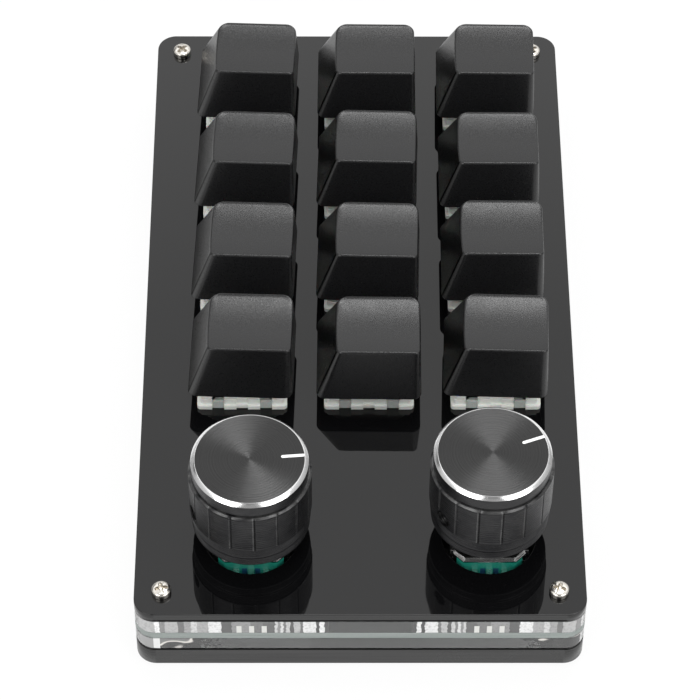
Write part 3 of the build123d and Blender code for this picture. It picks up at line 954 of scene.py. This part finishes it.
def make_case():
    """The edges of the nodes that show as they are, the clear sheets, the screws and the feet."""
    for node, width in node_bevels.items():
        soften(node, width)
    soften("circuit_board", board_bevel, 1)
    clear_frame("upper_clear_frame", air_gap, air_gap)
    clear_frame("lower_clear_frame", seam_gap, air_gap)
    screws = [placed(case_screw(), x, y, deck_top, turn) for (x, y), turn in zip(
        corner_places("case_screws", screw_head_radius), screw_turns)]
    slot_piece("pan_head_screws", together(screws), "screw_nickel", "root", "case_screws")
    foot_top = node_box("rubber_feet")[1][2]
    profile = [(foot_radius - inset, height) for inset, height in rubber_round]
    profile += [(foot_radius, foot_top - rubber_break), (foot_radius - rubber_break, foot_top)]
    feet = [placed(revolved(profile, 48), x, y) for x, y in corner_places(
        "rubber_feet", foot_radius)]
    slot_piece("stick_on_feet", together(feet), "foot_rubber", "root", "rubber_feet")


# Keys

cap_template = rounded_template(8, cap_side_points)


def cap_outline(level, inset=0.0):
    """The cap's outline at a height, which may differ from point to point.

    Half sizes, corner radius and sideways shift run straight from the skirt to the top, where
    the front corners are sharper than the rear ones.
    """
    front_radius, rear_radius = cap_top_corner_radii
    top_radius = front_radius + (cap_template[:, 1] + 1) / 2 * (rear_radius - front_radius)
    share = (level - cap_skirt) / (cap_top - cap_skirt)
    half_x = cap_base_half + share * (cap_top_half[0] - cap_base_half) - inset
    half_y = cap_base_half + share * (cap_top_half[1] - cap_base_half) - inset
    radius = cap_corner_radius + share * (top_radius - cap_corner_radius)
    radius = np.maximum(radius - inset, cap_least_radius)
    return rounded_outline(cap_template, half_x, half_y, radius, share * cap_top_shift)


def dish_height(y):
    """The top face: a cylinder whose axis runs from left to right, lowest in the middle."""
    edge = cap_top_half[1]
    return cap_top + np.sqrt(cap_dish_radius ** 2 - edge ** 2) - np.sqrt(
        cap_dish_radius ** 2 - np.minimum(np.abs(y), edge) ** 2)


def keycap():
    """Inner ceiling, inner walls, lip, outer walls, rounded edge and dished top, in that order.

    The edge's rings turn a quarter circle: they come in by one less the cosine of the turn and
    rise by its sine. The top's rings are the edge's last one drawn in towards the middle.
    """
    around = len(cap_template)
    rings = []

    def add(level, inset):
        """One more ring of the cap's outline."""
        level = np.broadcast_to(np.asarray(level, float), (around,))
        rings.append(np.hstack([cap_outline(level, inset), level[:, None]]))

    for level in (cap_ceiling, cap_ceiling - edge_hold, cap_skirt + cap_mouth,
                  cap_skirt + edge_hold, cap_skirt):
        add(level, cap_wall)
    for rise, inset in ((0.0, cap_lip), (cap_lip_break, cap_lip_break), (cap_lip, 0.0),
                        (cap_lip + 2 * edge_hold, 0.0)):
        add(cap_skirt + rise, inset)
    edge = dish_height(cap_outline(np.full(around, cap_top))[:, 1])
    add(cap_skirt + 0.5 * (edge - cap_skirt), 0.0)
    add(edge - cap_edge_radius - cap_edge_lead, 0.0)
    for turn in np.linspace(0, np.pi / 2, 7):
        add(edge - cap_edge_radius * (1 - np.sin(turn)),
            cap_edge_radius * (1 - np.cos(turn)) * cap_edge_ease)
    last = rings[-1]
    middle = np.array([cap_top_shift, 0.0])
    for share in cap_top_rings:
        flat = middle + share * (last[:, :2] - middle)
        rings.append(np.hstack([flat, dish_height(flat[:, 1])[:, None]]))
    return ring_stack(rings)


def cap_socket():
    """The round post under the cap's ceiling with a cross-shaped slot for the stem.

    The slot's outline in polar form is the larger reach of its two arms at each angle.
    """
    angle = full_circle(72)
    cosine, sine = np.abs(np.cos(angle)) + 1e-9, np.abs(np.sin(angle)) + 1e-9
    flat = np.minimum(socket_slot_half_length / cosine, socket_slot_half_width / sine)
    tall = np.minimum(socket_slot_half_length / sine, socket_slot_half_width / cosine)
    slot = np.maximum(flat, tall)
    unit = directions(angle)
    outer = np.full_like(slot, socket_radius)
    reach = [slot, slot, outer - socket_break, outer, outer]
    heights = [socket_slot_top, socket_bottom, socket_bottom, socket_bottom + socket_break,
               cap_ceiling + socket_break]
    return ring_stack(rings_from([size[:, None] * unit for size in reach], heights))


def housing_outline(half_x, half_y, corner, leg, notch):
    """A square outline with two channels for the latch legs and a notch, front and rear.

    The half outline is a corner arc, the front side with its steps, and the next corner arc. The
    other half is the same turned by half a turn.
    """
    steps = np.repeat([-leg_edges[1], -leg_edges[0], -notch_half_width, notch_half_width,
                       leg_edges[0], leg_edges[1]], 2)
    back = np.array([0, leg, leg, 0, 0, notch, notch, 0, 0, leg, leg, 0])
    front = np.stack([np.clip(steps, corner - half_x, half_x - corner), back - half_y], axis=-1)

    def arc(side, start):
        """A quarter circle round the corner's centre on one side, from an angle in degrees."""
        angle = np.radians(np.linspace(start, start + 90, 5))
        return (side * (half_x - corner), corner - half_y) + corner * directions(angle)

    half = np.vstack([arc(-1, 180), front, arc(1, 270)])
    return np.vstack([half, -half])


def square_row(level, half, corner, leg=0.0, notch=0.0):
    """A row for stacked_outlines that is as wide as it is deep."""
    return level, half, half, corner, leg, notch


def stacked_outlines(rows, ends="capped"):
    """A ring stack from rows of (height, half x, half y, corner, leg setback, notch setback)."""
    rings = [housing_outline(*row[1:]) for row in rows]
    return ring_stack(rings_from(rings, [row[0] for row in rows]), ends)


def rounded_block(low, high):
    """An upright box with its corners rounded and its top and bottom edges broken."""
    template = rounded_template(3, (0.5,))
    centre = (np.array(low) + high) / 2
    half = (np.array(high) - low) / 2
    outlines = [rounded_outline(template, half[0] - inset, half[1] - inset, leg_corner)
                + centre[:2] for inset in (leg_bevel, 0.0, 0.0, leg_bevel)]
    heights = [low[2], low[2] + leg_bevel, high[2] - leg_bevel, high[2]]
    return ring_stack(rings_from(outlines, heights))


def lower_housing():
    """A tub with a notched flange on the deck, and a post under its floor with the stem's bore.

    The post and the bore are square outlines whose corners are nearly as round as they are wide.
    """
    def round_row(level, radius):
        return square_row(level, radius, radius * post_roundness)

    def flange_row(level, inset, notch):
        return square_row(level, flange_half - inset, flange_corner, leg_setback, notch)

    return stacked_outlines([
        round_row(post_bottom, post_radius - post_break),
        round_row(post_bottom + post_taper, post_radius),
        round_row(body_bottom, post_radius),
        square_row(body_bottom, body_half - body_break, body_corner),
        square_row(body_bottom + body_break, body_half, body_corner),
        square_row(0.0, body_half, body_corner),
        flange_row(0.0, edge_bevel, notch_slot_depth),
        flange_row(edge_bevel, 0.0, notch_slot_depth),
        flange_row(notch_slot_top, 0.0, notch_slot_depth),
        flange_row(notch_slot_top, 0.0, notch_setback),
        flange_row(flange_top - edge_bevel, 0.0, notch_setback),
        flange_row(flange_top, edge_bevel, notch_setback),
        square_row(flange_top, cavity_half, cavity_corner),
        square_row(cavity_floor, cavity_half, cavity_corner),
        round_row(cavity_floor, stem_bore_radius),
        round_row(stem_bore_bottom, stem_bore_radius),
    ])


def upper_housing():
    """The hood: a rim with latch windows, then a taper to the stem's opening.

    The back walls of the windows stand upright, whatever the size of the outline at a level.
    """
    def rim_row(level, half, notch=0.0):
        depth = window_depth - (hood_rim_half - half)
        return square_row(level, half, hood_rim_corner, depth, notch)

    opening = (*hood_opening_half, hood_opening_corner, 0, 0)
    base = hood_base_half - hood_slope
    return stacked_outlines([
        (flange_top, *opening),
        rim_row(flange_top, hood_rim_half, notch_setback),
        rim_row(hood_rim_top - edge_bevel, hood_rim_half, notch_setback),
        rim_row(hood_rim_top, hood_rim_half - edge_bevel, notch_setback),
        rim_row(hood_rim_top, hood_base_half),
        rim_row(window_top, base),
        square_row(window_top, base, hood_rim_corner),
        square_row(hood_top - hood_top_break, hood_top_half + hood_shoulder, hood_top_corner),
        square_row(hood_top, hood_top_half - hood_slope, hood_top_corner),
        (hood_top, *opening),
    ], "joined")


def latch_legs():
    """Four legs of the hood that reach down over the flange's edge."""
    inner, outer = leg_edges
    legs = []
    for side in (-1, 1):
        for start, end in ((-outer, -inner), (inner, outer)):
            near, far = sorted((side * leg_front, side * leg_rear))
            legs.append(rounded_block((start + leg_clearance, near, leg_bottom),
                                      (end - leg_clearance, far, hood_rim_top - leg_headroom)))
    return together(legs)


def return_spring():
    """A coil spring: closed turns at each end and an even rise between them.

    The wire's centre goes round the axis. It rises by the wire's own thickness in each closed
    turn. The wire's section is a circle in the plane of the radial and upright directions.
    """
    sides, steps_in_turn = 8, 20
    wire, turns = spring_wire_radius, spring_turns
    share = np.linspace(0, 1, turns * steps_in_turn + 1)
    closed = spring_dead_turns / turns
    rise = np.clip((share - closed) / (1 - 2 * closed), 0, 1)
    touching = 2 * wire * spring_dead_turns
    height = spring_bottom + wire + np.minimum(share, closed) / closed * touching
    height += rise * (spring_top - spring_bottom - 2 * wire - 2 * touching)
    height += np.clip((share - 1 + closed) / closed, 0, 1) * touching
    section = full_circle(sides)
    reach = spring_radius + wire * np.cos(section)
    around = directions(share * turns * 2 * np.pi)[:, None]
    return ring_stack(rings_from(reach[:, None] * around,
                                 height[:, None] + wire * np.sin(section)))


def make_keys():
    """A cap and a spring for each key, then the housings of all the keys together."""
    cap, socket, spring = keycap(), cap_socket(), return_spring()
    places = [node_centre(f"key_stem_{key}")[:2] for key in key_names]
    for key, (x, y) in zip(key_names, places):
        shaped = stretched(cap, cap_skirt, cap_top, cap_drops[key], cap_lifts[key])
        shape = together([placed(shaped, turn=cap_turns[key]), socket])
        slot_piece(f"moulded_cap_{key}", placed(shape, x, y, deck_top), "cap_plastic",
                   f"key_{key}", f"keycap_{key}")
        coil = slot_piece(f"coil_{key}", placed(spring, x, y, deck_top), "spring_steel", "root",
                          f"key_spring_{key}", crease=spring_crease)
        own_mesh(coil)
    for name, shape, slot, stands_for in (
            ("notched_tubs", lower_housing(), "switch_white", ["switch_lower_housings"]),
            ("tapered_hoods", upper_housing(), "switch_white", ["switch_upper_housings"]),
            ("latch_legs", latch_legs(), "switch_milky", [])):
        copies = together([placed(shape, x, y, deck_top) for x, y in places])
        slot_piece(name, copies, slot, "root", *stands_for)


# Knobs

def knob_angles():
    """Angles round a knob: close together across each groove, even across each panel."""
    half = groove_half_width / grip_radius
    clear = half * groove_clearance
    groove = [-0.5 * half, 0.0, 0.5 * half]
    across = np.concatenate([groove, np.linspace(clear, panel_step - clear, 9)])
    return (np.arange(panel_count)[:, None] * panel_step + across).ravel()


def grooved_radius(radius, angle, depth):
    """A circle cut by one V groove at each panel's edge: the depth falls off straight."""
    half = panel_step / 2
    off = np.abs((angle + half) % panel_step - half) * grip_radius
    return radius - depth * np.clip(1 - off / groove_half_width, 0, 1)


def turned_rings(radius, low, high, cut, groove):
    """Rows of a wall whose radius falls by a small rounded valley at each ring of the cut."""
    rows = []
    for height in np.arange(low, high, ring_pitch / 4):
        valley = 0.5 - 0.5 * np.cos(2 * np.pi * (height - low) / ring_pitch)
        rows.append((radius - cut * valley, height, groove))
    return rows


def knob_body(side):
    """Bore, recess, foot, skirt, grip, undercut and crown, from inside to outside and up.

    The bore's points beyond its flat are moved onto the flat, which faces the set screw.
    """
    angle = knob_angles()
    foot, skirt, grip, crown = knob_foot_radius, knob_skirt_radius, grip_radius, crown_radius
    foot_top, skirt_top = knob_foot_height, knob_skirt_height
    rows = [(knob_bore_radius, knob_bore_depth, 0), (knob_bore_radius, knob_recess_depth, 0),
            (knob_recess_radius, knob_recess_depth, 0), (knob_recess_radius, recess_break, 0),
            (knob_recess_radius + recess_break, 0.0, 0), (foot - foot_break, 0.0, 0),
            (foot, foot_break, 0)]
    rows += turned_rings(foot, rings_start, foot_top - plain_band, skirt_ring_depth, 0)
    rows += [(foot, foot_top - foot_step, 0), (skirt, foot_top + foot_step, 0)]
    rows += turned_rings(skirt, foot_top + plain_band, skirt_top - plain_band,
                         skirt_ring_depth, 0)
    rows += [(skirt, skirt_top - foot_step, 0), (skirt - skirt_break, skirt_top, 0),
             (grip - grip_break, skirt_top, 0), (grip, skirt_top + grip_break, groove_depth)]
    rows += turned_rings(grip, skirt_top + rings_start, grip_top - grip_chamfer - foot_break,
                         ring_depth, groove_depth)
    rows += [(grip, grip_top - grip_chamfer, groove_depth),
             (grip - grip_chamfer, grip_top, groove_depth * groove_runout),
             (undercut_radius, grip_top, 0), (undercut_radius, undercut_top, 0),
             (crown - skirt_break, undercut_top, 0), (crown, undercut_top + skirt_break, 0),
             (crown, rim_bottom - plain_band, 0),
             (crown - rim_joint_inset, rim_bottom - rim_joint_half, 0),
             (crown - rim_lap, rim_bottom - rim_joint_half, 0)]
    outlines = [grooved_radius(radius, angle, depth)[:, None] * directions(angle)
                for radius, _, depth in rows]
    away = directions(np.radians(knob_turns[side] + set_screw_turn - groove_turns[side]))
    for ring in outlines[:2]:
        ring += np.maximum(knob_flat - ring @ away, 0)[:, None] * away
    return ring_stack(rings_from(outlines, [height for _, height, _ in rows]))


def knob_rim():
    """The bright cut chamfer: a flat cone between the crown and the disc, with broken edges."""
    profile = [(crown_radius - rim_lap, rim_bottom - rim_joint_half),
               (crown_radius - rim_joint_inset, rim_bottom - rim_joint_half),
               (crown_radius, rim_bottom + rim_joint_half)]
    profile += [(rim_inner_radius + out, knob_height - down) for out, down in rim_edge]
    return revolved(profile, 192, "joined")


def knob_disc():
    """The spun top: its height ripples with the radius in fine rings."""
    radius = np.arange(rim_inner_radius - disc_gap, disc_hub, -disc_ring_pitch / 5)
    height = knob_height - disc_sink + disc_ring_depth * np.cos(
        2 * np.pi * radius / disc_ring_pitch)
    rows = [(radius[0], rim_bottom)] + list(zip(radius, height))
    return revolved(rows, 128)


def knob_pointer():
    """A painted bar with a round inner end that runs out to the rim, along +X."""
    round_end = directions(np.radians(np.linspace(90, 270, 9)))
    start = (pointer_start + pointer_half_width, 0) + pointer_half_width * round_end
    end_x = rim_inner_radius + pointer_break
    outline = np.vstack([start, [(end_x, -pointer_half_width), (end_x, pointer_half_width)]])
    middle = outline.mean(axis=0)
    top = knob_height - disc_sink + pointer_proud
    drawn = middle + (outline - middle) * pointer_drawn
    return ring_stack(rings_from([outline, outline, drawn],
                                 [top - pointer_thickness, top - pointer_break, top]))


def screw_hole():
    """The threaded hole over a set screw: a thin tube with rippled walls, along its axis."""
    reach = np.arange(hole_tube_start, grip_radius - hole_sink, thread_pitch / 8)
    wall = set_screw_radius - thread_depth / 2 * (1 + np.cos(2 * np.pi * reach / thread_pitch))
    outer = set_screw_radius + hole_wall
    return revolved([*zip(wall, reach), (outer, reach[-1]), (outer, reach[0])], 48, "joined")


def lying(shape, turn):
    """The shape laid down, so that its Z axis points sideways at an angle in degrees."""
    points, quads, triangles = shape
    cosine, sine = directions(np.radians(turn))
    rotation = np.array([[-sine, cosine, 0], [0, 0, 1], [cosine, sine, 0]])
    return points @ rotation, quads, triangles


def make_knobs():
    """For each knob its black body, the hole of its set screw, and its bright and painted parts."""
    for side in knob_sides:
        low, high = node_box(f"knob_{side}")
        x, y = (low[:2] + high[:2]) / 2
        bottom, body, turn = low[2], f"knob_{side}", knob_turns[side]
        hole_turn = turn + set_screw_turn + 180
        black = knob_black(f"knob_black_{side}", (x, y), bottom, groove_turns[side], hole_turn)
        disc = spun_disc(f"spun_disc_{side}", (x, y))
        hole = lying(screw_hole(), hole_turn)
        make_piece(f"knob_screw_hole_{side}", placed(hole, x, y, bottom + set_screw_height),
                   finishes["knob_aluminium"], body)
        for name, shape, finish, angle, stands_for, slot in (
                ("body", knob_body(side), black, groove_turns[side], (body,), "knob_aluminium"),
                ("rim", knob_rim(), finishes["bright_rim"], turn, (), "knob_aluminium"),
                ("disc", knob_disc(), disc, turn, (), "knob_aluminium"),
                ("pointer", knob_pointer(), finishes["pointer_paint"], turn, (), None)):
            make_piece(f"knob_{name}_{side}", placed(shape, x, y, bottom, angle), finish, body,
                       stands_for)


# Studio

def make_camera():
    """Axes from elevation and yaw, then a roll about the line of sight."""
    elevation, yaw, roll = np.radians([camera_elevation, camera_yaw, camera_roll])
    ahead = np.array([np.sin(yaw) * np.cos(elevation), np.cos(yaw) * np.cos(elevation),
                      -np.sin(elevation)])
    level = np.array([np.cos(yaw), -np.sin(yaw), 0.0])
    upright = np.cross(level, ahead)
    right = np.cos(roll) * level + np.sin(roll) * upright
    up = np.cos(roll) * upright - np.sin(roll) * level
    place = np.array([*camera_aim, deck_top]) - ahead * camera_distance
    matrix = np.eye(4)
    matrix[:3, :3] = np.stack([right, up, -ahead], axis=-1)
    matrix[:3, 3] = place * mm
    data = bpy.data.cameras.new("camera")
    data.lens = camera_lens
    data.sensor_width = camera_sensor
    data.clip_start = nearest_seen
    camera = add_object("camera", data)
    camera.matrix_world = Matrix(matrix.tolist())
    bpy.context.scene.camera = camera


def soft_box(name, place, size, radiance):
    """A rectangular lamp at a place in metres, aimed at the keypad, of a given radiance."""
    data = bpy.data.lights.new(name, "AREA")
    data.shape = "RECTANGLE"
    data.size, data.size_y = size
    data.energy = radiance * np.pi * size[0] * size[1]
    lamp = add_object(name, data)
    lamp.location = place
    direction = Vector(lamp_target) - Vector(place)
    lamp.rotation_euler = direction.to_track_quat("-Z", "Y").to_euler()


def light_kind(finish, kind):
    """1 for light of one kind, such as what the camera sees itself, and 0 for all other."""
    return finish.node("ShaderNodeLightPath", output=kind)


def make_world():
    """A white tent, seen as plain white. Its sides are dimmer, and so are its very top, a patch
    round the camera and another at the back left."""
    world = bpy.data.worlds.new("studio")
    bpy.context.scene.world = world
    finish = Finish(world)
    x, y, z = finish.axes(finish.node("ShaderNodeTexCoord", output="Generated"))
    overhead = finish.span(z, 0.0, 0.75, 0.65, 1.25) * finish.span(z, 0.85, 1.0, 1.0, 0.7)
    overhead = overhead * finish.span(z, 0.55, 0.7, 1.0, 1.3)
    overhead = overhead * finish.span(z, 0.7, 0.78, 1.0, 0.77)
    aside = abs(x) + z.larger(0.0) * 0.38
    patch = finish.span(aside, 0.46, 0.58, 1.0, 0.0) * finish.span(y, -0.3, -0.15, 1.0, 0.0)
    sides = finish.span(abs(x), 0.55, 0.85, 1.0, 0.55)
    back_left = finish.span(x, -0.38, -0.25, 1.0, 0.0) * finish.span(y, 0.25, 0.4)
    back_left = back_left * finish.span(z, 0.25, 0.35) * finish.span(z, 0.6, 0.68, 1.0, 0.0)
    tent = overhead * sides * (1 - back_left * 0.75) * (1 - patch * 0.8)
    camera = light_kind(finish, "Is Camera Ray")
    background = finish.node("ShaderNodeBackground", {
        "Color": (1.0, 1.0, 1.0), "Strength": tent * (1 - camera) + camera})
    finish.node("ShaderNodeOutputWorld", {"Surface": background})


def make_floor():
    """A white table: it keeps the shadow, is white where the camera sees it, and can be seen
    through from below."""
    half = table_half
    mesh = bpy.data.meshes.new("table_top")
    mesh.from_pydata([(-half, -half, 0), (half, -half, 0), (half, half, 0), (-half, half, 0)],
                     [], [(0, 1, 2, 3)])
    finish = new_finish("table_white")
    direct = light_kind(finish, "Is Camera Ray").larger(light_kind(finish, "Is Glossy Ray"))
    direct = direct.larger(light_kind(finish, "Is Transmission Ray"))
    paper = finish.noise(0.02, 2.0)
    matt = finish.node("ShaderNodeBsdfDiffuse", {
        "Color": finish.mix(paper, (0.93, 0.93, 0.93), (0.96, 0.96, 0.96))})
    glow = finish.node("ShaderNodeEmission", {"Color": (1.0, 1.0, 1.0), "Strength": 1.0})
    lit = finish.node("ShaderNodeMixShader", {0: direct * 0.93, 1: matt, 2: glow})
    below = finish.node("ShaderNodeNewGeometry", output="Backfacing")
    open_below = finish.node("ShaderNodeMixShader", {
        0: below, 1: lit, 2: finish.node("ShaderNodeBsdfTransparent")})
    mesh.materials.append(finish.output(open_below))
    add_object("table_top", mesh)


def make_studio():
    """Camera, tent, table and lamps, with colours shown as they are written."""
    make_camera()
    make_world()
    make_floor()
    for lamp in lamps:
        soft_box(*lamp)
    bpy.context.scene.view_settings.view_transform = "Standard"


make_studio()
make_case()
make_keys()
make_knobs()
